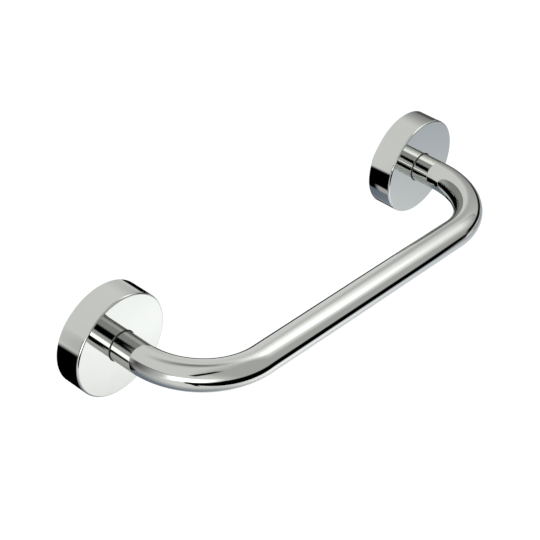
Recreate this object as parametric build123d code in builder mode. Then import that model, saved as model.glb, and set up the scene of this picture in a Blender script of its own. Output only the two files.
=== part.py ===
import os
from math import hypot, radians, tan

from build123d import *

# A wall-mounted grab bar in millimetres: the wall is the plane y = 0, the bar stands off it towards -Y,
# +X runs along the bar and +Z is up. A height is a distance out from the wall.

fixing_centres = 290.0  # from one flange axis to the other

# Bent grip tube
tube_diameter = 20.0
tube_wall = 1.5
bend_radius = 50.0  # on the tube's axis
leg_length = 16.5  # straight run from a flange's face to the bend
tube_end_break = 0.3

# Flange cover, a turned cup that hides the fixing
cover_diameter = 70.0
cover_depth = 18.5
cover_skirt = 3.5
cover_face = 3.5
cover_front_round = 1.2
cover_rear_break = 0.5
cover_mouth_break = 0.5
socket_depth = 2.5  # how far the tube's end sits in the face
hub_wall = 4.25  # around the socket, behind the face
hub_gap = 1.5  # between the hub and the wall plate

# Seal ring in the socket, round the tube
seal_width = 0.7
seal_proud = 0.3

# Threaded plug brazed into the tube's end
plug_recess = 0.3
plug_end_wall = 3.0
plug_break = 0.8
bore_run_out = 2.5  # drilled past the screw's tip
drill_point_angle = 118.0

# Hub screw, a button head with a hexagon socket, and its spring washer
hub_thread = 8.0
thread_engagement = 8.5
hub_head_diameter = 14.0
hub_head_height = 4.4
hub_head_flat = 8.0  # across the flat end of the dome
hub_hex = 5.0
hub_hex_depth = 2.8
screw_tip_break = 1.0
washer_diameter = 14.8
washer_thickness = 2.0
washer_split = 1.4
washer_split_lean = 0.5  # sideways per unit of height

# Wall plate, cast, with a grooved rim
plate_thickness = 8.0
slot_width = 5.5
slot_length = 9.5
slot_inset = 11.25  # slot centre in from the plate's rim
screw_head_room = 3.0  # round the hub screw's head
groove_depth = 2.0
groove_rim = 2.75  # metal between groove and pockets
pocket_collar = 3.0  # metal between access hole and pockets
pocket_depth = 4.5
pocket_bearing = 33.0  # degrees from the level line to a pocket's middle
pocket_sweep = 18.0  # degrees between the centres of a pocket's round ends
plate_break = 0.6

# Grub screw, up through the bottom of the skirt into the plate's groove
grub_thread = 5.0
grub_recess = 0.5
grub_hex = 2.5
grub_hex_depth = 2.0

# Clearances
slip = 0.05  # radial, between sleeves and on threads
screw_clearance = 0.25  # radial, round the hub screw in hub and washer
plate_clearance = 0.25  # radial, between wall plate and skirt
tip_clearance = 0.1  # grub screw's tip off the bottom of the groove

ends = {"left": -fixing_centres / 2, "right": fixing_centres / 2}

tube_radius = tube_diameter / 2
tube_bore = tube_radius - tube_wall
tube_seat = cover_depth - socket_depth
bar_standoff = cover_depth + leg_length + bend_radius

cover_radius = cover_diameter / 2
skirt_bore = cover_radius - cover_skirt
socket_radius = tube_radius + seal_width
hub_radius = socket_radius + hub_wall
hub_seat = plate_thickness + hub_gap
face_back = cover_depth - cover_face

screw_radius = hub_thread / 2
head_seat = hub_seat - washer_thickness
head_end = head_seat - hub_head_height
plug_start = tube_seat + plug_recess
screw_tip = plug_start + thread_engagement
bore_end = screw_tip + bore_run_out

plate_radius = skirt_bore - plate_clearance
groove_height = plate_thickness / 2
groove_floor = plate_radius - groove_depth
access_radius = hub_head_diameter / 2 + screw_head_room
pocket_inner = access_radius + pocket_collar
pocket_outer = groove_floor - groove_rim
slot_radius = plate_radius - slot_inset

grub_end = cover_radius - grub_recess
grub_tip = groove_floor + tip_clearance


def section_plane(end_x):
    # Level half-section of a flange: local x is the radius, local y is minus the height
    return Plane(origin=(end_x, 0, 0), x_dir=(1, 0, 0), z_dir=(0, 0, 1))


def height_plane(end_x, height):
    # Parallel to the wall and facing the room: local x is along the bar, local y is up
    return Plane(origin=(end_x, -height, 0), x_dir=(1, 0, 0), z_dir=(0, -1, 0))


def flange_axis(end_x):
    return Axis((end_x, 0, 0), (0, 1, 0))


def grub_plane(end_x, drop):
    # Level plane below the flange axis, facing down along the grub screw's axis
    return Plane(origin=(end_x, -groove_height, -drop), x_dir=(1, 0, 0), z_dir=(0, 0, -1))


def make_flange_cover(end_x):
    with BuildPart() as cover:
        with BuildSketch(section_plane(end_x)) as section:
            with BuildLine():
                Polyline(
                    (screw_radius + screw_clearance, -hub_seat),
                    (hub_radius, -hub_seat),
                    (hub_radius, -face_back),
                    (skirt_bore, -face_back),
                    (skirt_bore, 0),
                    (cover_radius, 0),
                    (cover_radius, -cover_depth),
                    (socket_radius, -cover_depth),
                    (socket_radius, -tube_seat),
                    (screw_radius + screw_clearance, -tube_seat),
                    close=True,
                )
            make_face()
            mouth_corner = section.vertices().group_by(Axis.Y)[-1].sort_by(Axis.X)[0]
            chamfer(mouth_corner, cover_mouth_break)
            rear_corner = section.vertices().group_by(Axis.Y)[-1].sort_by(Axis.X)[-1]
            chamfer(rear_corner, cover_rear_break)
            front_corner = section.vertices().group_by(Axis.Y)[0].sort_by(Axis.X)[-1]
            fillet(front_corner, cover_front_round)
        revolve(axis=flange_axis(end_x))
        with Locations(grub_plane(end_x, cover_radius)):
            Hole(radius=grub_thread / 2, depth=2 * cover_skirt)
    return cover


def make_seal_ring(end_x):
    with BuildPart() as seal:
        with BuildSketch(height_plane(end_x, tube_seat)):
            Circle(socket_radius - slip)
            Circle(tube_radius + slip, mode=Mode.SUBTRACT)
        extrude(amount=socket_depth + seal_proud)
        lip = seal.edges().filter_by(GeomType.CIRCLE).group_by(Axis.Y)[0].sort_by(SortBy.RADIUS)[-1]
        chamfer(lip, seal_proud)
    return seal


def make_tube_plug(end_x):
    point_height = screw_radius / tan(radians(drill_point_angle / 2))
    plug_radius = tube_bore - slip
    plug_end = bore_end + point_height + plug_end_wall
    with BuildPart() as plug:
        with BuildSketch(section_plane(end_x)):
            with BuildLine():
                Polyline(
                    (screw_radius, -plug_start),
                    (plug_radius, -plug_start),
                    (plug_radius, -(plug_end - plug_break)),
                    (plug_radius - plug_break, -plug_end),
                    (0, -plug_end),
                    (0, -(bore_end + point_height)),
                    (screw_radius, -bore_end),
                    close=True,
                )
            make_face()
        revolve(axis=flange_axis(end_x))
    return plug


def make_hub_screw(end_x):
    shank_radius = screw_radius - slip
    head_radius = hub_head_diameter / 2
    flat_radius = hub_head_flat / 2
    # The dome is part of a ball whose centre is on the axis, this far past the seat
    dome_centre = (head_radius**2 - flat_radius**2 - hub_head_height**2) / (2 * hub_head_height)
    dome_radius = hypot(head_radius, dome_centre)
    with BuildPart() as screw:
        with BuildSketch(section_plane(end_x)):
            with BuildLine():
                Line((0, -head_end), (flat_radius, -head_end))
                RadiusArc((flat_radius, -head_end), (head_radius, -head_seat), dome_radius)
                Polyline(
                    (head_radius, -head_seat),
                    (shank_radius, -head_seat),
                    (shank_radius, -(screw_tip - screw_tip_break)),
                    (shank_radius - screw_tip_break, -screw_tip),
                    (0, -screw_tip),
                    (0, -head_end),
                )
            make_face()
        revolve(axis=flange_axis(end_x))
        with BuildSketch(height_plane(end_x, head_end)):
            RegularPolygon(radius=hub_hex / 2, side_count=6, major_radius=False)
        extrude(amount=hub_hex_depth, mode=Mode.SUBTRACT)
    return screw


def make_spring_washer(end_x):
    lean = washer_thickness * washer_split_lean
    with BuildPart() as washer:
        with BuildSketch(height_plane(end_x, head_seat)):
            Circle(washer_diameter / 2)
            Circle(screw_radius + screw_clearance, mode=Mode.SUBTRACT)
        extrude(amount=washer_thickness)
        middle = head_seat + washer_thickness / 2
        with BuildSketch(Plane(origin=(end_x, -middle, 0), x_dir=(0, 1, 0), z_dir=(1, 0, 0))):
            with BuildLine():
                Polyline(
                    (-washer_thickness, -washer_split / 2 - lean),
                    (washer_thickness, -washer_split / 2 + lean),
                    (washer_thickness, washer_split / 2 + lean),
                    (-washer_thickness, washer_split / 2 - lean),
                    close=True,
                )
            make_face()
        extrude(amount=washer_diameter, mode=Mode.SUBTRACT)
    return washer


def make_wall_plate(end_x):
    pocket_middle = (pocket_inner + pocket_outer) / 2
    with BuildPart() as plate:
        with BuildSketch(height_plane(end_x, 0)):
            Circle(plate_radius)
            Circle(access_radius, mode=Mode.SUBTRACT)
            with Locations((0, slot_radius), (0, -slot_radius)):
                SlotOverall(slot_length, slot_width, mode=Mode.SUBTRACT)
        extrude(amount=plate_thickness)
        rims = plate.edges().filter_by(GeomType.CIRCLE).group_by(SortBy.RADIUS)[-1]
        chamfer(rims, plate_break)
        with BuildSketch(section_plane(end_x)):
            with BuildLine():
                Polyline(
                    (groove_floor, -groove_height),
                    (plate_radius + groove_depth, -groove_height - 2 * groove_depth),
                    (plate_radius + groove_depth, -groove_height + 2 * groove_depth),
                    close=True,
                )
            make_face()
        revolve(axis=flange_axis(end_x), mode=Mode.SUBTRACT)
        with BuildSketch(height_plane(end_x, 0)):
            with BuildLine(mode=Mode.PRIVATE) as pocket_line:
                CenterArc((0, 0), pocket_middle, pocket_bearing - pocket_sweep / 2, pocket_sweep)
            SlotArc(pocket_line.wire(), pocket_outer - pocket_inner)
            mirror(about=Plane.XZ)
            mirror(about=Plane.YZ)
        extrude(amount=pocket_depth, mode=Mode.SUBTRACT)
    return plate


def make_grub_screw(end_x):
    thread_radius = grub_thread / 2 - slip
    with BuildPart() as grub:
        with BuildSketch(Plane(origin=(end_x, -groove_height, 0), x_dir=(1, 0, 0), z_dir=(0, -1, 0))):
            with BuildLine():
                Polyline(
                    (0, -grub_end),
                    (thread_radius, -grub_end),
                    (thread_radius, -grub_tip - thread_radius),
                    (0, -grub_tip),
                    close=True,
                )
            make_face()
        revolve(axis=Axis((end_x, -groove_height, 0), (0, 0, 1)))
        with BuildSketch(grub_plane(end_x, grub_end)):
            RegularPolygon(radius=grub_hex / 2, side_count=6, major_radius=False)
        extrude(amount=-grub_hex_depth, mode=Mode.SUBTRACT)
    return grub


def make_grip_tube():
    with BuildPart() as tube:
        with BuildLine() as route:
            FilletPolyline(
                (ends["left"], -tube_seat),
                (ends["left"], -bar_standoff),
                (ends["right"], -bar_standoff),
                (ends["right"], -tube_seat),
                radius=bend_radius,
            )
        with BuildSketch(Plane(origin=route.line @ 0, z_dir=route.line % 0)):
            Circle(tube_radius)
            Circle(tube_bore, mode=Mode.SUBTRACT)
        sweep()
        chamfer(tube.edges().group_by(Axis.Y)[-1], tube_end_break)
    return tube


os.makedirs("parts", exist_ok=True)

grip_tube = make_grip_tube()
grip_tube.part.label = "grip_tube"
export_step(grip_tube.part, "parts/grip_tube.step")

end_pieces = {
    "flange_cover": make_flange_cover,
    "seal_ring": make_seal_ring,
    "tube_plug": make_tube_plug,
    "hub_screw": make_hub_screw,
    "spring_washer": make_spring_washer,
    "wall_plate": make_wall_plate,
    "grub_screw": make_grub_screw,
}
for side, end_x in ends.items():
    for name, make_piece in end_pieces.items():
        piece = make_piece(end_x)
        piece.part.label = f"{side}_{name}"
        export_step(piece.part, f"parts/{side}_{name}.step")
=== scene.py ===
from math import atan2, ceil, cos, pi, radians, sin, sqrt

import bmesh
import bpy
from mathutils import Matrix, Vector


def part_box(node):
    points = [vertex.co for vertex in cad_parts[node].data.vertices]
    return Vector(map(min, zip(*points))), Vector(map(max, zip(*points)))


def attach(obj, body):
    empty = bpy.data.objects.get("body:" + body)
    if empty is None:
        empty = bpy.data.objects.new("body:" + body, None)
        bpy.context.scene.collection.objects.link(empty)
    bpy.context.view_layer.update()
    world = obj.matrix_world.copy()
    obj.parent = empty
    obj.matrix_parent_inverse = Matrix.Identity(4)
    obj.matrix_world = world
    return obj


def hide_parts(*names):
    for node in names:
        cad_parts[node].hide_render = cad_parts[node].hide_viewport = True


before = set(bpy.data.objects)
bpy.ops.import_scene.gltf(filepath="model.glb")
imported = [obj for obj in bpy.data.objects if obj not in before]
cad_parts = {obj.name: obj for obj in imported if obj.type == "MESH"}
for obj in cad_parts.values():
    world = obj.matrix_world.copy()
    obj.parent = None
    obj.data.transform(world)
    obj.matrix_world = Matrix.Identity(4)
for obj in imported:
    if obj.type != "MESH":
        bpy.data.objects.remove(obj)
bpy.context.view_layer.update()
mm = 0.001
ends = ("left", "right")
print("frame loaded:", len(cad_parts), "solids")


# The sRGB curve, undone for each channel
def linear(hexColour):
    channels = [int(hexColour[i:i + 2], 16) / 255 for i in (1, 3, 5)]
    return [c / 12.92 if c <= 0.04045 else ((c + 0.055) / 1.055) ** 2.4 for c in channels] + [1.0]


def addNode(tree, kind, inputs, **settings):
    node = tree.nodes.new(kind)
    for name, value in settings.items():
        setattr(node, name, value)
    for socket, value in inputs.items():
        if isinstance(value, bpy.types.NodeSocket):
            tree.links.new(value, node.inputs[socket])
        else:
            node.inputs[socket].default_value = value
    return node


def newMaterial(name):
    material = bpy.data.materials.new(name)
    material.use_nodes = True
    return material, material.node_tree, material.node_tree.nodes["Principled BSDF"]


mixDark, mixLight, mixTone = 6, 7, 2  # the colour sockets of a mix node, two inputs and an output
wavePeriod = 2 * pi / 20  # spacing of a wave texture's crests at a scale of 1


# What the parts share with their neighbours is measured on the frame
tubeLow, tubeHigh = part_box("grip_tube")
coverLow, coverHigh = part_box("right_flange_cover")
tubeRadius = (tubeHigh.z - tubeLow.z) / 2
endX = {"left": tubeLow.x + tubeRadius, "right": tubeHigh.x - tubeRadius}
tubeSeat = -tubeHigh.y
barHeight = -tubeLow.y - tubeRadius
coverRadius = (coverHigh.x - coverLow.x) / 2
coverDepth = -coverLow.y


# Bright chrome plate over polished brass: a grey mirror, where buffing leaves a faint uneven haze
chromeLook = {
    "light": "#C5C7C3",
    "dark": "#C0C2BE",
    "hazeSize": 14 * mm,
    "hazeRange": (0.3, 0.7),
    "sharpest": 0.012,
    "haziest": 0.03,
}


def chromePlate():
    material, tree, shader = newMaterial("buffedChromePlate")
    place = addNode(tree, "ShaderNodeTexCoord", {})
    haze = addNode(tree, "ShaderNodeTexNoise", {
        "Vector": place.outputs["Object"],
        "Scale": 1 / chromeLook["hazeSize"],
        "Detail": 3.0,
    })
    tone = addNode(tree, "ShaderNodeMix", {
        "Factor": haze.outputs["Fac"],
        mixDark: linear(chromeLook["dark"]),
        mixLight: linear(chromeLook["light"]),
    }, data_type="RGBA")
    blur = addNode(tree, "ShaderNodeMapRange", {
        "Value": haze.outputs["Fac"],
        "From Min": chromeLook["hazeRange"][0],
        "From Max": chromeLook["hazeRange"][1],
        "To Min": chromeLook["sharpest"],
        "To Max": chromeLook["haziest"],
    })
    tree.links.new(tone.outputs[mixTone], shader.inputs["Base Color"])
    tree.links.new(blur.outputs["Result"], shader.inputs["Roughness"])
    shader.inputs["Metallic"].default_value = 1.0
    return material


# The same plate inside the cup, straight from the lathe and never buffed: dull, with fine tool rings
cupLook = {
    "light": "#B4B4B0",
    "dark": "#8F908D",
    "ringSpacing": 0.6 * mm,
    "ringDepth": 0.01 * mm,
    "ringWander": 0.6,
    "bump": 0.4,
    "roughness": 0.34,
}


def turnedPlate(side):
    material, tree, shader = newMaterial(side + "TurnedPlate")
    place = addNode(tree, "ShaderNodeTexCoord", {})
    centred = addNode(tree, "ShaderNodeMapping", {
        "Vector": place.outputs["Object"],
        "Location": (-endX[side], 0, 0),
    })
    rings = addNode(tree, "ShaderNodeTexWave", {
        "Vector": centred.outputs["Vector"],
        "Scale": wavePeriod / cupLook["ringSpacing"],
        "Distortion": cupLook["ringWander"],
        "Detail": 2.0,
    }, wave_type="RINGS", rings_direction="Y")
    tone = addNode(tree, "ShaderNodeMix", {
        "Factor": rings.outputs["Fac"],
        mixDark: linear(cupLook["dark"]),
        mixLight: linear(cupLook["light"]),
    }, data_type="RGBA")
    bump = addNode(tree, "ShaderNodeBump", {
        "Height": rings.outputs["Fac"],
        "Strength": cupLook["bump"],
        "Distance": cupLook["ringDepth"],
    })
    tree.links.new(tone.outputs[mixTone], shader.inputs["Base Color"])
    tree.links.new(bump.outputs["Normal"], shader.inputs["Normal"])
    shader.inputs["Metallic"].default_value = 1.0
    shader.inputs["Roughness"].default_value = cupLook["roughness"]
    return material


# Black rubber, moulded: matt, a little grey where it catches the light, with a fine mould grain
rubberLook = {
    "light": "#17181A",
    "dark": "#0B0B0C",
    "grain": 0.35 * mm,
    "grainDepth": 0.02 * mm,
    "bump": 0.5,
    "roughness": 0.5,
    "ior": 1.52,
}


def mouldedRubber():
    material, tree, shader = newMaterial("mouldedRubber")
    place = addNode(tree, "ShaderNodeTexCoord", {})
    grain = addNode(tree, "ShaderNodeTexNoise", {
        "Vector": place.outputs["Object"],
        "Scale": 1 / rubberLook["grain"],
        "Detail": 4.0,
    })
    tone = addNode(tree, "ShaderNodeMix", {
        "Factor": grain.outputs["Fac"],
        mixDark: linear(rubberLook["dark"]),
        mixLight: linear(rubberLook["light"]),
    }, data_type="RGBA")
    bump = addNode(tree, "ShaderNodeBump", {
        "Height": grain.outputs["Fac"],
        "Strength": rubberLook["bump"],
        "Distance": rubberLook["grainDepth"],
    })
    tree.links.new(tone.outputs[mixTone], shader.inputs["Base Color"])
    tree.links.new(bump.outputs["Normal"], shader.inputs["Normal"])
    shader.inputs["Roughness"].default_value = rubberLook["roughness"]
    shader.inputs["IOR"].default_value = rubberLook["ior"]
    return material


# Turned metals: stainless screws and brass plugs, with a lathe's rings round each flange's axis
turnedLooks = {
    "stainlessSteel": {
        "light": "#C9C8C4",
        "dark": "#9C9B98",
        "ringSpacing": 0.5 * mm,
        "roughness": (0.2, 0.36),
    },
    "turnedBrass": {
        "light": "#DDBE78",
        "dark": "#B48F49",
        "ringSpacing": 0.45 * mm,
        "roughness": (0.16, 0.3),
    },
}
turnedWander = 1.5


def turnedMetal(kind, side):
    look = turnedLooks[kind]
    material, tree, shader = newMaterial(side + kind[0].upper() + kind[1:])
    place = addNode(tree, "ShaderNodeTexCoord", {})
    centred = addNode(tree, "ShaderNodeMapping", {
        "Vector": place.outputs["Object"],
        "Location": (-endX[side], 0, 0),
    })
    rings = addNode(tree, "ShaderNodeTexWave", {
        "Vector": centred.outputs["Vector"],
        "Scale": wavePeriod / look["ringSpacing"],
        "Distortion": turnedWander,
        "Detail": 3.0,
    }, wave_type="RINGS", rings_direction="Y")
    tone = addNode(tree, "ShaderNodeMix", {
        "Factor": rings.outputs["Fac"],
        mixDark: linear(look["dark"]),
        mixLight: linear(look["light"]),
    }, data_type="RGBA")
    blur = addNode(tree, "ShaderNodeMapRange", {
        "Value": rings.outputs["Fac"],
        "To Min": look["roughness"][0],
        "To Max": look["roughness"][1],
    })
    tree.links.new(tone.outputs[mixTone], shader.inputs["Base Color"])
    tree.links.new(blur.outputs["Result"], shader.inputs["Roughness"])
    shader.inputs["Metallic"].default_value = 1.0
    return material


# Stainless steel, precision cast and shot blasted: soft grey, pebbled, with a random mottle and painted
# shade in its low spots
castLook = {
    "light": "#C6C6C2",
    "dark": "#96979A",
    "pebble": 0.45 * mm,
    "pebbleDepth": 0.05 * mm,
    "mottle": 9 * mm,
    "shadeRange": (0.12, 0.4),
    "bump": 0.6,
    "metallic": 0.6,  # the blasting scatters much of the light, as chalk does
    "roughness": 0.52,
}


def blastedCasting():
    material, tree, shader = newMaterial("blastedCasting")
    place = addNode(tree, "ShaderNodeTexCoord", {})
    pebbles = addNode(tree, "ShaderNodeTexNoise", {
        "Vector": place.outputs["Object"],
        "Scale": 1 / castLook["pebble"],
        "Detail": 3.0,
    })
    mottle = addNode(tree, "ShaderNodeTexNoise", {
        "Vector": place.outputs["Object"],
        "Scale": 1 / castLook["mottle"],
        "Detail": 4.0,
    })
    # painted shade: the pebbles' low spots, which the bump sinks, are darkened, times a random mottle
    pitShadeAndMottle = addNode(tree, "ShaderNodeMath", {
        0: pebbles.outputs["Fac"],
        1: mottle.outputs["Fac"],
    }, operation="MULTIPLY")
    pitShadeAndMottleSpread = addNode(tree, "ShaderNodeMapRange", {
        "Value": pitShadeAndMottle.outputs["Value"],
        "From Min": castLook["shadeRange"][0],
        "From Max": castLook["shadeRange"][1],
    })
    tone = addNode(tree, "ShaderNodeMix", {
        "Factor": pitShadeAndMottleSpread.outputs["Result"],
        mixDark: linear(castLook["dark"]),
        mixLight: linear(castLook["light"]),
    }, data_type="RGBA")
    bump = addNode(tree, "ShaderNodeBump", {
        "Height": pebbles.outputs["Fac"],
        "Strength": castLook["bump"],
        "Distance": castLook["pebbleDepth"],
    })
    tree.links.new(tone.outputs[mixTone], shader.inputs["Base Color"])
    tree.links.new(bump.outputs["Normal"], shader.inputs["Normal"])
    shader.inputs["Metallic"].default_value = castLook["metallic"]
    shader.inputs["Roughness"].default_value = castLook["roughness"]
    return material


chrome = chromePlate()
rubber = mouldedRubber()
casting = blastedCasting()
print("materials made")


smoothUnder = 35  # degrees between two faces, past which their edge looks sharp
mergeGap = 0.001 * mm  # points closer than this become one
ringGap = 0.01 * mm  # how near a point lies to a ring that it is on
wallGap = 0.1 * mm  # how near the middle of a face lies to a wall that it is on


def finishPiece(name, bm, materials, node):
    for face in bm.faces:
        face.smooth = True
    mesh = bpy.data.meshes.new(name)
    bm.to_mesh(mesh)
    bm.free()
    for material in materials:
        mesh.materials.append(material)
    mesh.set_sharp_from_angle(angle=radians(smoothUnder))
    piece = bpy.data.objects.new(name, mesh)
    bpy.context.scene.collection.objects.link(piece)
    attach(piece, "root")
    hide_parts(node)
    return piece


def closeSkin(bm):
    bmesh.ops.remove_doubles(bm, verts=bm.verts, dist=mergeGap)
    bmesh.ops.recalc_face_normals(bm, faces=bm.faces)


def roundEdges(bm, edges, size, segments):
    bmesh.ops.bevel(
        bm,
        geom=edges,
        offset=size,
        affect="EDGES",
        segments=segments,
        profile=0.5,
        material=-1,
    )


# One bent tube: each skin is a ring drawn along the leg, round a bend, along the bar and back
tubeLook = {
    "wall": 1.5 * mm,
    "bendRadius": 50 * mm,
    "endBreak": 0.3 * mm,
    "endSteps": 2,
    "ringPoints": 128,
    "bendSteps": 72,
    "runStep": 4 * mm,
}


def drawRun(bm, ring, travel):
    steps = ceil(travel.length / tubeLook["runStep"])
    for _ in range(steps):
        ring = bmesh.ops.extrude_edge_only(bm, edges=ring)["geom"]
        verts = [g for g in ring if isinstance(g, bmesh.types.BMVert)]
        bmesh.ops.translate(bm, verts=verts, vec=travel / steps)
        ring = [g for g in ring if isinstance(g, bmesh.types.BMEdge)]
    return ring


def turnBend(bm, ring, centre):
    turned = bmesh.ops.spin(
        bm,
        geom=ring,
        cent=centre,
        axis=(0, 0, 1),
        angle=pi / 2,
        steps=tubeLook["bendSteps"],
    )
    return [g for g in turned["geom_last"] if isinstance(g, bmesh.types.BMEdge)]


def drawSkin(bm, radius):
    bend = tubeLook["bendRadius"]
    leg = Vector((0, -(barHeight - bend - tubeSeat), 0))
    bar = Vector((endX["right"] - endX["left"] - 2 * bend, 0, 0))
    seat = Matrix.Translation((endX["left"], -tubeSeat, 0)) @ Matrix.Rotation(pi / 2, 4, "X")
    made = bmesh.ops.create_circle(bm, segments=tubeLook["ringPoints"], radius=radius, matrix=seat)
    first = list(dict.fromkeys(e for v in made["verts"] for e in v.link_edges))
    ring = drawRun(bm, first, leg)
    ring = turnBend(bm, ring, (endX["left"] + bend, bend - barHeight, 0))
    ring = drawRun(bm, ring, bar)
    ring = turnBend(bm, ring, (endX["right"] - bend, bend - barHeight, 0))
    return first, drawRun(bm, ring, -leg)


def makeGripTube():
    bm = bmesh.new()
    outerStart, outerEnd = drawSkin(bm, tubeRadius)
    innerStart, innerEnd = drawSkin(bm, tubeRadius - tubeLook["wall"])
    bmesh.ops.bridge_loops(bm, edges=outerStart + innerStart)
    bmesh.ops.bridge_loops(bm, edges=outerEnd + innerEnd)
    closeSkin(bm)
    rims = outerStart + innerStart + outerEnd + innerEnd
    roundEdges(bm, rims, tubeLook["endBreak"], tubeLook["endSteps"])
    return finishPiece("gripTube", bm, [chrome], "grip_tube")


makeGripTube()
print("grip tube made")


# Turned pieces: a half section, as radius and height above the wall, spun round the flange's axis
def spinSection(side, profile, steps):
    bm = bmesh.new()
    corners = [bm.verts.new((endX[side] + r, -h, 0)) for r, h in profile]
    section = [bm.edges.new(pair) for pair in zip(corners, corners[1:] + corners[:1])]
    bmesh.ops.spin(
        bm,
        geom=corners + section,
        cent=(endX[side], 0, 0),
        axis=(0, 1, 0),
        angle=2 * pi,
        steps=steps,
        use_merge=True,
    )
    closeSkin(bm)
    return bm


def fromAxis(side, point):
    return sqrt((point.x - endX[side]) ** 2 + point.z ** 2)


def ringEdges(bm, side, radius, height):
    def onRing(v):
        return abs(fromAxis(side, v.co) - radius) < ringGap and abs(v.co.y + height) < ringGap
    return [e for e in bm.edges if onRing(e.verts[0]) and onRing(e.verts[1])]


# Flange covers: a deep cup with a hub for the tube, and a tapped hole through the bottom of its skirt
coverLook = {
    "skirt": 3.5 * mm,
    "face": 3.5 * mm,
    "frontRound": 1.2 * mm,
    "frontSteps": 10,
    "rearRound": 0.7 * mm,
    "rearSteps": 5,
    "mouthBreak": 0.5 * mm,
    "edgeFlat": 0.15 * mm,  # narrow flat beside a round, so that the mirror next to it stays true
    "socketRadius": 10.7 * mm,
    "hubRadius": 14.95 * mm,
    "hubSeat": 9.5 * mm,
    "screwHole": 4.25 * mm,
    "grubHeight": 4 * mm,
    "grubHole": 2.5 * mm,
    "grubPatch": 2.8 * mm,  # half the height of the square of skirt that is cut out round the hole
    "patchStretch": 1.1,  # the square's width over its height
    "grubBreak": 0.15 * mm,
    "grubBreakSteps": 2,
    "spinSteps": 256,
    "patchSteps": 8,
}


def inGrubPatch(side, face, wall):
    look = coverLook
    middle = face.calc_center_median()
    inside = abs(middle.x - endX[side]) < look["grubPatch"] * look["patchStretch"]
    level = abs(-middle.y - look["grubHeight"]) < look["grubPatch"]
    onWall = abs(fromAxis(side, middle) - wall) < wallGap
    return middle.z < 0 and inside and level and onWall


# A square of faces goes from each wall of the skirt, its border is drawn in to a circle,
# and the two circles are joined
def cutGrubHole(bm, side):
    look = coverLook
    circles = []
    for wall in (coverRadius, coverRadius - look["skirt"]):
        patch = [f for f in bm.faces if inGrubPatch(side, f, wall)]
        edges = dict.fromkeys(e for f in patch for e in f.edges)
        border = [e for e in edges if sum(f in patch for f in e.link_faces) == 1]
        bmesh.ops.delete(bm, geom=patch, context="FACES")
        drawn = bmesh.ops.extrude_edge_only(bm, edges=border)["geom"]
        for v in (g for g in drawn if isinstance(g, bmesh.types.BMVert)):
            bearing = atan2(-v.co.y - look["grubHeight"], v.co.x - endX[side])
            across = look["grubHole"] * cos(bearing)
            v.co.x = endX[side] + across
            v.co.y = -look["grubHeight"] - look["grubHole"] * sin(bearing)
            v.co.z = -sqrt(wall ** 2 - across ** 2)
        circles.append([g for g in drawn if isinstance(g, bmesh.types.BMEdge)])
    bmesh.ops.bridge_loops(bm, edges=circles[0] + circles[1])
    bmesh.ops.recalc_face_normals(bm, faces=bm.faces)
    roundEdges(bm, circles[0], look["grubBreak"], look["grubBreakSteps"])


def makeFlangeCover(side):
    look = coverLook
    mouth = coverRadius - look["skirt"]
    faceBack = coverDepth - look["face"]
    low, high = look["grubHeight"] - look["grubPatch"], look["grubHeight"] + look["grubPatch"]
    patchLevels = [low + (high - low) * i / look["patchSteps"] for i in range(look["patchSteps"] + 1)]
    profile = [
        (look["screwHole"], look["hubSeat"]),
        (look["hubRadius"], look["hubSeat"]),
        (look["hubRadius"], faceBack),
        (mouth, faceBack),
        *[(mouth, h) for h in reversed(patchLevels)],
        (mouth, look["mouthBreak"]),
        (mouth + look["mouthBreak"], 0),
        (coverRadius, 0),
        (coverRadius, look["rearRound"] + look["edgeFlat"]),
        *[(coverRadius, h) for h in patchLevels],
        (coverRadius, coverDepth - look["frontRound"] - look["edgeFlat"]),
        (coverRadius, coverDepth),
        (coverRadius - look["frontRound"] - look["edgeFlat"], coverDepth),
        (look["socketRadius"] + look["edgeFlat"], coverDepth),
        (look["socketRadius"], coverDepth),
        (look["socketRadius"], tubeSeat),
        (look["screwHole"], tubeSeat),
    ]
    bm = spinSection(side, profile, look["spinSteps"])
    cutGrubHole(bm, side)
    roundEdges(bm, ringEdges(bm, side, coverRadius, coverDepth), look["frontRound"], look["frontSteps"])
    roundEdges(bm, ringEdges(bm, side, coverRadius, 0), look["rearRound"], look["rearSteps"])
    materials = [chrome, turnedPlate(side)]
    for face in bm.faces:
        middle = face.calc_center_median()
        inCup = fromAxis(side, middle) < mouth + wallGap and -middle.y < coverDepth - wallGap
        face.material_index = int(inCup)
    return finishPiece(side + "FlangeCover", bm, materials, side + "_flange_cover")


for side in ends:
    makeFlangeCover(side)
print("flange covers made")


# Seal rings: a rubber ring in each socket, its lip a little proud of the flange's face
sealLook = {
    "inner": 10.05 * mm,
    "outer": 10.65 * mm,
    "proud": 0.3 * mm,
    "lipRound": 0.25 * mm,
    "lipSteps": 4,
    "spinSteps": 192,
}


def makeSealRing(side):
    look = sealLook
    lipHeight = coverDepth + look["proud"]
    profile = [
        (look["inner"], tubeSeat),
        (look["outer"], tubeSeat),
        (look["outer"], lipHeight),
        (look["inner"], lipHeight),
    ]
    bm = spinSection(side, profile, look["spinSteps"])
    lip = ringEdges(bm, side, look["outer"], lipHeight)
    roundEdges(bm, lip, look["lipRound"], look["lipSteps"])
    return finishPiece(side + "SealRing", bm, [rubber], side + "_seal_ring")


for side in ends:
    makeSealRing(side)
print("seal rings made")


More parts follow.
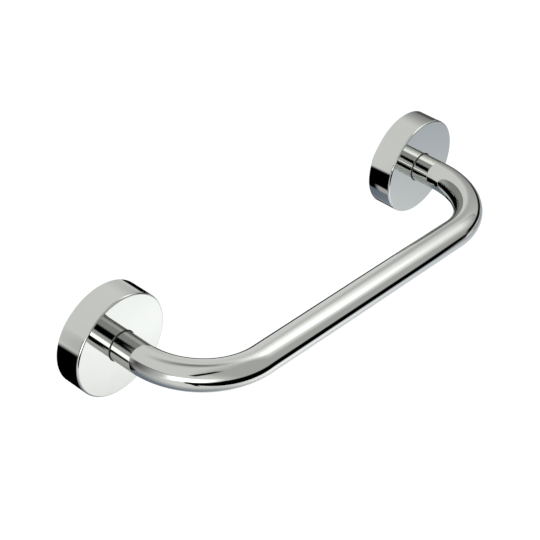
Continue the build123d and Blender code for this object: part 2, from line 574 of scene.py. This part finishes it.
# Hidden fixings: the solid's own form with its doubles merged and its edges broken
fixingLooks = {
    "wall_plate": {"name": "WallPlate", "slot": "plate_casting", "edge": 0.3 * mm, "segments": 3},
    "hub_screw": {"name": "HubScrew", "slot": "screw_steel", "edge": 0.15 * mm, "segments": 2},
    "spring_washer": {"name": "SpringWasher", "slot": "screw_steel", "edge": 0.12 * mm, "segments": 2},
    "grub_screw": {"name": "GrubScrew", "slot": "screw_steel", "edge": 0.08 * mm, "segments": 2},
    "tube_plug": {"name": "TubePlug", "slot": "plug_brass", "edge": 0.1 * mm, "segments": 2},
}
solidGap = 0.002 * mm  # the solids' own points are merged within this
flatUnder = 0.5  # degrees between two faces of a solid, under which they become one
breakOver = 30  # degrees between two faces, past which their edge is broken


def makeFixing(side, kind, material):
    look = fixingLooks[kind]
    node = side + "_" + kind
    bm = bmesh.new()
    bm.from_mesh(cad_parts[node].data)
    bmesh.ops.remove_doubles(bm, verts=bm.verts, dist=solidGap)
    bmesh.ops.dissolve_limit(bm, angle_limit=radians(flatUnder), verts=bm.verts, edges=bm.edges)
    piece = finishPiece(side + look["name"], bm, [material], node)
    edges = piece.modifiers.new("brokenEdges", "BEVEL")
    edges.width = look["edge"]
    edges.segments = look["segments"]
    edges.limit_method = "ANGLE"
    edges.angle_limit = radians(breakOver)
    edges.harden_normals = True
    return piece


for side in ends:
    steel = turnedMetal("stainlessSteel", side)
    brass = turnedMetal("turnedBrass", side)
    fixingMaterials = {
        "wall_plate": casting,
        "hub_screw": steel,
        "spring_washer": steel,
        "grub_screw": steel,
        "tube_plug": brass,
    }
    for kind, material in fixingMaterials.items():
        makeFixing(side, kind, material)
print("fixings made")


# Camera at the photograph's place, fitted to the outlines of the tube and flanges
cameraLook = {
    "azimuth": -50.445,
    "elevation": 36.217,
    "roll": 4.322,
    "distance": 1025.343 * mm,
    "target": Vector((-9.972, -16.246, -13.701)) * mm,
    "focalPixels": 1574.163,
    "framePixels": 540,
    "sensor": 36.0,
    "clip": (0.01, 50),
}


def makeCamera():
    look = cameraLook
    azimuth, elevation, roll = (radians(look[k]) for k in ("azimuth", "elevation", "roll"))
    back = Vector((sin(azimuth) * cos(elevation), -cos(azimuth) * cos(elevation), sin(elevation)))
    level = back.cross(Vector((0, 0, -1))).normalized()
    upright = level.cross(-back)
    right = cos(roll) * level + sin(roll) * upright
    up = cos(roll) * upright - sin(roll) * level
    data = bpy.data.cameras.new("camera")
    data.sensor_width = look["sensor"]
    data.lens = look["focalPixels"] / look["framePixels"] * look["sensor"]
    data.clip_start, data.clip_end = look["clip"]
    camera = bpy.data.objects.new("camera", data)
    bpy.context.scene.collection.objects.link(camera)
    turn = Matrix((right, up, back)).transposed().to_4x4()
    camera.matrix_world = Matrix.Translation(look["target"] + back * look["distance"]) @ turn
    bpy.context.scene.camera = camera


makeCamera()
print("camera placed")


# Studio: a white tent with a pale floor, and cards that only mirrors see
studioLook = {
    "floorDrop": 1.0,
    "floorSize": 12.0,
    "floorGlow": 0.93,
    "floorColour": "#6B6B6A",
    "skyLight": 0.75,
}


# 1 for rays that show the background, to the camera, in mirrors or through glass, and 0 for the rest
def seenRays(tree):
    rays = addNode(tree, "ShaderNodeLightPath", {})
    seen = rays.outputs["Is Camera Ray"]
    for kind in ("Is Glossy Ray", "Is Transmission Ray"):
        seen = addNode(tree, "ShaderNodeMath", {
            0: seen,
            1: rays.outputs[kind],
        }, operation="MAXIMUM").outputs["Value"]
    return seen


def makeWorld():
    world = bpy.data.worlds.new("whiteTent")
    bpy.context.scene.world = world
    world.use_nodes = True
    tree = world.node_tree
    strength = addNode(tree, "ShaderNodeMapRange", {
        "Value": seenRays(tree),
        "To Min": studioLook["skyLight"],
        "To Max": 1.0,
    })
    background = tree.nodes["Background"]
    background.inputs["Color"].default_value = linear("#FFFFFF")
    tree.links.new(strength.outputs["Result"], background.inputs["Strength"])


def makeFloor():
    bm = bmesh.new()
    bmesh.ops.create_grid(bm, x_segments=1, y_segments=1, size=studioLook["floorSize"] / 2)
    bmesh.ops.translate(bm, verts=bm.verts, vec=(0, 0, -studioLook["floorDrop"]))
    mesh = bpy.data.meshes.new("paleFloor")
    bm.to_mesh(mesh)
    bm.free()
    material, tree, shader = newMaterial("paleFloor")
    glow = addNode(tree, "ShaderNodeMath", {
        0: seenRays(tree),
        1: studioLook["floorGlow"],
    }, operation="MULTIPLY")
    shader.inputs["Base Color"].default_value = linear(studioLook["floorColour"])
    shader.inputs["Roughness"].default_value = 1.0
    shader.inputs["Specular IOR Level"].default_value = 0.0
    shader.inputs["Emission Color"].default_value = linear("#FFFFFF")
    tree.links.new(glow.outputs["Value"], shader.inputs["Emission Strength"])
    mesh.materials.append(material)
    floor = bpy.data.objects.new("paleFloor", mesh)
    bpy.context.scene.collection.objects.link(floor)


# Each card: its middle, width and height in metres, its glow, and the share of it that fades out at its
# left, right, foot and top. It faces the bar, unless a bearing and a rise say where its back points, and
# it may lean in its own plane. Angles are in degrees
cardLooks = {
    "highSoftbox": {
        "place": (0.62, -0.23, 0.69), "size": (1.45, 0.95), "lean": -45,
        "glow": 2, "fade": (0.4, 0.45, 0.75, 0.5),
    },
    "topSoftbox": {
        "place": (0.23, -0.2, 0.36), "size": (0.18, 0.3),
        "glow": 2.5, "fade": (0.35, 0.35, 0.35, 0.45),
    },
    "rightWall": {
        "place": (2, 0.15, 0.55), "size": (3.2, 4.4),
        "glow": 0.2, "fade": (0.25, 0.9, 0.1, 0.7),
    },
    "frontWall": {
        "place": (0.5, -1.25, 0.95), "size": (4.5, 4.2),
        "glow": 0.64, "fade": (0.02, 0.3, 0.02, 0.35),
    },
    "rightFlag": {
        "place": (1.48, -0.3, 0.06), "size": (2.3, 0.52), "lean": 3,
        "glow": 0, "fade": (0.25, 0.2, 0.25, 0.3),
    },
    "frontFlag": {
        "place": (-0.16, -0.49, -0.19), "facing": (180, -4), "size": (1.54, 0.34),
        "glow": 0, "fade": (0.07, 0.05, 0.08, 0.14),
    },
    "frontSoftbox": {
        "place": (-0.4, -0.305, 0.015), "size": (0.52, 0.19),
        "glow": 3.5, "fade": (0.65, 0.3, 0.2, 0.3),
    },
    "cameraHood": {
        "place": (-0.345, -0.355, 0.42), "size": (0.11, 0.5), "lean": 38,
        "glow": 0, "fade": (0.25, 0.25, 0.2, 0.3),
    },
    "leftFlag": {
        "place": (-0.84, 0.1, -0.36), "facing": (-80, 0), "size": (0.8, 1.26),
        "glow": 0.07, "fade": (0.85, 0.3, 0.84, 0.06),
    },
    "backFlag": {
        "place": (-0.28, 0.16, -0.1875), "facing": (0, 3), "size": (0.58, 0.305),
        "glow": 0, "fade": (0.3, 0.02, 0.13, 0.13),
    },
    "rearFlag": {
        "place": (0.35, 0.33, -0.25), "size": (0.3, 0.48),
        "glow": 0, "fade": (0.1, 0.12, 0.1, 0.1),
    },
    "tableSpot": {
        "place": (0.19, -0.3, -0.27), "facing": (0, -91), "size": (0.8, 0.3),
        "glow": 2.25, "fade": (0.6, 0.6, 0.42, 0.5),
    },
    "underSpot": {
        "place": (0.045, -0.035, -0.27), "facing": (0, -91), "size": (0.4, 0.36),
        "glow": 1.5, "fade": (0.5, 0.5, 0.4, 0.6),
    },
    "backTable": {
        "place": (0.34, 0.48, -0.39), "facing": (30, -83), "size": (1.35, 0.55),
        "glow": 1.7, "fade": (0.65, 0.65, 0.7, 0.55),
    },
    "underShade": {
        "place": (-0.08, 0.12, -0.4), "facing": (43, -89), "size": (1, 1.3),
        "glow": 0.3, "tint": "#D8E8FF", "fade": (0.05, 0.4, 0.45, 0.25),
    },
    "rightTable": {
        "place": (0.5, -0.343, -0.2275), "facing": (6, -60), "size": (1.55, 0.7),
        "glow": 0.74, "tint": "#E7F0FD", "fade": (0.56, 0.05, 0.3, 0.1),
    },
    "roofSeam": {
        "place": (0.07, 0.2, 1.23), "size": (1.55, 0.75),
        "glow": 0.2, "fade": (0.6, 0.5, 0.5, 0.6),
    },
    "lowGlint": {
        "place": (0.039, 0.067, -0.145), "size": (0.07, 0.026),
        "glow": 0.6, "fade": (0.3, 0.3, 0.2, 0.2),
    },
    "rearBand": {
        "place": (0.05, 1.5, -0.33), "facing": (0, 0), "size": (2, 0.35),
        "glow": 0, "fade": (0.3, 0.3, 0.2, 0.2),
    },
    "sideFlag": {
        "place": (1.03, 0.49, -0.05), "size": (0.45, 0.5),
        "glow": 0.1, "fade": (0.4, 0.4, 0.4, 0.4),
    },
    "rearSoftbox": {
        "place": (-0.13, 0.42, -0.3), "facing": (0, -35), "size": (0.62, 0.16),
        "glow": 1.2, "tint": "#D8E8FF", "fade": (0.25, 0.25, 0.25, 0.25),
    },
    "rearGlow": {
        "place": (0, 1.3, 0.25), "facing": (0, 0), "size": (2, 0.8),
        "glow": 2.5, "fade": (0.4, 0.4, 0.4, 0.4),
    },
    "cornerFlag": {
        "place": (0.7, -0.46, -0.01), "facing": (150, 0), "size": (0.5, 0.12), "lean": -15,
        "glow": 0, "fade": (0.2, 0.15, 0.2, 0.2),
    },
    "endCard": {
        "place": (0.4, -0.12, -0.09), "facing": (95, 0), "size": (0.28, 0.09),
        "glow": 0.5, "fade": (0.2, 0.2, 0.2, 0.2),
    },
    "leftRail": {
        "place": (-0.92, -0.02, 0.235), "facing": (-88, 17), "size": (0.8, 0.1),
        "glow": 0.45, "fade": (0.35, 0.3, 0.7, 0.15),
    },
    "leftSpot": {
        "place": (-0.52, -0.16, -0.095), "size": (0.22, 0.11),
        "glow": 1.8, "fade": (0.5, 0.5, 0.5, 0.5),
    },
    "lowFlag": {
        "place": (-0.65, -0.5, -0.4), "facing": (180, 0), "size": (0.13, 0.22), "lean": -38,
        "glow": 0, "fade": (0.1, 0.12, 0.08, 0.05),
    },
}
cardsFace = Vector((0, -50, 0)) * mm  # the point between the flanges that they face


def cardMaterial(name, look):
    material, tree, shader = newMaterial(name)
    place = addNode(tree, "ShaderNodeTexCoord", {})
    across = addNode(tree, "ShaderNodeSeparateXYZ", {"Vector": place.outputs["UV"]})
    left, right, foot, top = look["fade"]
    cover = 1.0
    for axis, edge, inside in (("X", 0, left), ("X", 1, 1 - right), ("Y", 0, foot), ("Y", 1, 1 - top)):
        ramp = addNode(tree, "ShaderNodeMapRange", {
            "Value": across.outputs[axis],
            "From Min": edge,
            "From Max": inside,
        }, interpolation_type="SMOOTHSTEP")
        cover = addNode(tree, "ShaderNodeMath", {
            0: cover,
            1: ramp.outputs["Result"],
        }, operation="MULTIPLY").outputs["Value"]
    glow = addNode(tree, "ShaderNodeEmission", {
        "Color": linear(look.get("tint", "#FFFFFF")),
        "Strength": look["glow"],
    })
    clear = addNode(tree, "ShaderNodeBsdfTransparent", {})
    mixed = addNode(tree, "ShaderNodeMixShader", {
        0: cover,
        1: clear.outputs["BSDF"],
        2: glow.outputs["Emission"],
    })
    tree.links.new(mixed.outputs["Shader"], tree.nodes["Material Output"].inputs["Surface"])
    tree.nodes.remove(shader)
    return material


def makeCard(name, look):
    middle = Vector(look["place"])
    outward = (middle - cardsFace).normalized()
    if "facing" in look:
        bearing, rise = (radians(angle) for angle in look["facing"])
        outward = Vector((sin(bearing) * cos(rise), cos(bearing) * cos(rise), sin(rise)))
    level = outward.cross(Vector((0, 0, 1))).normalized()
    turn = Matrix((level, -outward.cross(level), -outward)).transposed().to_4x4()
    lean = Matrix.Rotation(radians(look.get("lean", 0)), 4, "Z")
    bm = bmesh.new()
    bm.loops.layers.uv.new("UVMap")
    bmesh.ops.create_grid(bm, x_segments=1, y_segments=1, size=0.5, calc_uvs=True)  # one metre square
    bmesh.ops.scale(bm, vec=(*look["size"], 1), verts=bm.verts)
    bmesh.ops.transform(bm, matrix=Matrix.Translation(middle) @ turn @ lean, verts=bm.verts)
    mesh = bpy.data.meshes.new(name)
    bm.to_mesh(mesh)
    bm.free()
    mesh.materials.append(cardMaterial(name, look))
    card = bpy.data.objects.new(name, mesh)
    bpy.context.scene.collection.objects.link(card)
    card.visible_camera = False
    card.visible_diffuse = False
    card.visible_transmission = False
    card.visible_shadow = False


# Soft lamps shape the rubber and the castings, and stay out of the mirrors
lampLooks = {
    "keyLamp": {"place": (-0.7, -0.9, 1.1), "size": 0.9, "watts": 9.0},
    "fillLamp": {"place": (1.0, -0.6, 0.7), "size": 1.0, "watts": 5.0},
    "rearLamp": {"place": (0.2, 1.2, 0.7), "size": 1.0, "watts": 6.0},
}


def makeLamp(name, look):
    data = bpy.data.lights.new(name, "AREA")
    data.shape = "DISK"
    data.size = look["size"]
    data.energy = look["watts"]
    lamp = bpy.data.objects.new(name, data)
    bpy.context.scene.collection.objects.link(lamp)
    lamp.location = look["place"]
    lamp.rotation_euler = (-lamp.location).to_track_quat("-Z", "Y").to_euler()
    lamp.visible_glossy = False


makeWorld()
makeFloor()
for name, look in cardLooks.items():
    makeCard(name, look)
for name, look in lampLooks.items():
    makeLamp(name, look)
bpy.context.scene.view_settings.view_transform = "Standard"
print("studio made")
